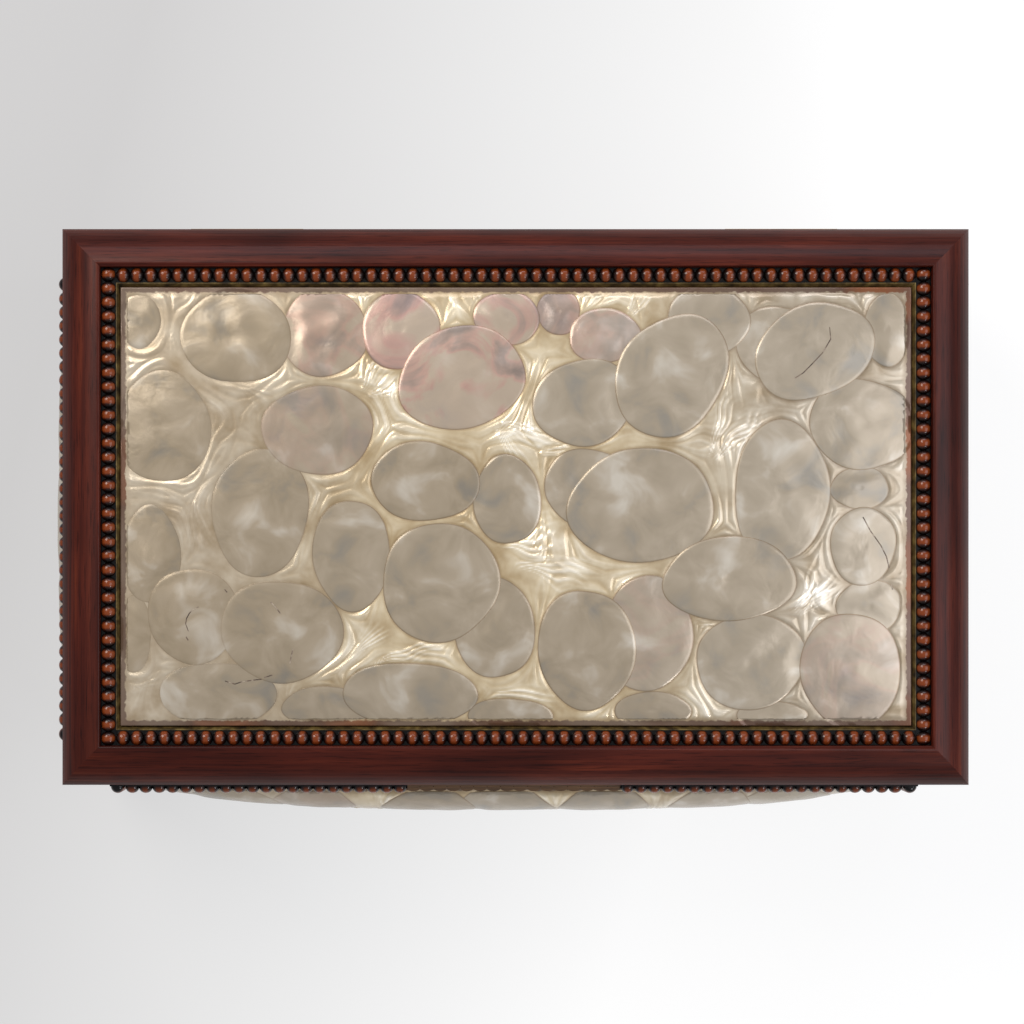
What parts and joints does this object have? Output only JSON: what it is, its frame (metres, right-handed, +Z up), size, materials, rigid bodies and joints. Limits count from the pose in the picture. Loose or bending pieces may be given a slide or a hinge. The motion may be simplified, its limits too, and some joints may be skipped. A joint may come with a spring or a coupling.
{
  "type": "inlaid wooden box",
  "caption": "Rectangular wooden box with a hinged lid, domed mother-of-pearl panels of overlapping ovals in beaded frames, a finger scoop at the front and a cedar-lined inside.",
  "frame": {"origin": "middle of the underside, on the surface the box stands on", "axes": "+X to the right along the length, +Y to the back where the hinges are, +Z up"},
  "size_m": [0.3166, 0.1992, 0.1154],
  "materials": {
    "polished_mahogany": "french polished",
    "turned_beads": "stained and polished",
    "mother_of_pearl": "polished nacre",
    "gilt_slip": "aged gilt",
    "hinge_brass": "polished",
    "pine_ground": "planed",
    "beech_key": "planed",
    "cedar_lining": "sanded",
    "green_baize": "felted wool"
  },
  "bodies": {
    "box": {"base_baize": "green_baize", "base_board": "pine_ground", "body_back_board": "polished_mahogany", "body_corner_splines": "beech_key", "body_front_board": "polished_mahogany", "body_left_board": "polished_mahogany", "body_right_board": "polished_mahogany", "front_beads_bottom": "turned_beads", "front_beads_left": "turned_beads", "front_beads_right": "turned_beads", "front_beads_top": "turned_beads", "front_panel_ground": "pine_ground", "front_shell_ovals": "mother_of_pearl", "front_shell_sheet": "mother_of_pearl", "front_slip": "gilt_slip", "hinge_body_screws": "hinge_brass", "hinge_left_body_leaf": "hinge_brass", "hinge_left_pin": "hinge_brass", "hinge_right_body_leaf": "hinge_brass", "hinge_right_pin": "hinge_brass", "left_beads_bottom": "turned_beads", "left_beads_left": "turned_beads", "left_beads_right": "turned_beads", "left_beads_top": "turned_beads", "left_panel_ground": "pine_ground", "left_shell_ovals": "mother_of_pearl", "left_shell_sheet": "mother_of_pearl", "left_slip": "gilt_slip", "lining_back": "cedar_lining", "lining_floor": "cedar_lining", "lining_front": "cedar_lining", "lining_left": "cedar_lining", "lining_right": "cedar_lining", "right_beads_bottom": "turned_beads", "right_beads_left": "turned_beads", "right_beads_right": "turned_beads", "right_beads_top": "turned_beads", "right_panel_ground": "pine_ground", "right_shell_ovals": "mother_of_pearl", "right_shell_sheet": "mother_of_pearl", "right_slip": "gilt_slip"},
    "lid": {"hinge_left_lid_leaf": "hinge_brass", "hinge_lid_screws": "hinge_brass", "hinge_right_lid_leaf": "hinge_brass", "lid_beads_back": "turned_beads", "lid_beads_front": "turned_beads", "lid_beads_left": "turned_beads", "lid_beads_right": "turned_beads", "lid_corner_keys": "beech_key", "lid_lining": "cedar_lining", "lid_panel_ground": "pine_ground", "lid_rail_back": "polished_mahogany", "lid_rail_front": "polished_mahogany", "lid_rail_left": "polished_mahogany", "lid_rail_right": "polished_mahogany", "lid_shell_ovals": "mother_of_pearl", "lid_shell_sheet": "mother_of_pearl", "lid_slip": "gilt_slip"}
  },
  "joints": [
    {"name": "lid_hinge", "type": "hinge", "parent": "box", "child": "lid", "pos_m": [0, 0.0924, 0.08915], "axis": [-1, 0, 0], "range_deg": [0, 100]}
  ]
}
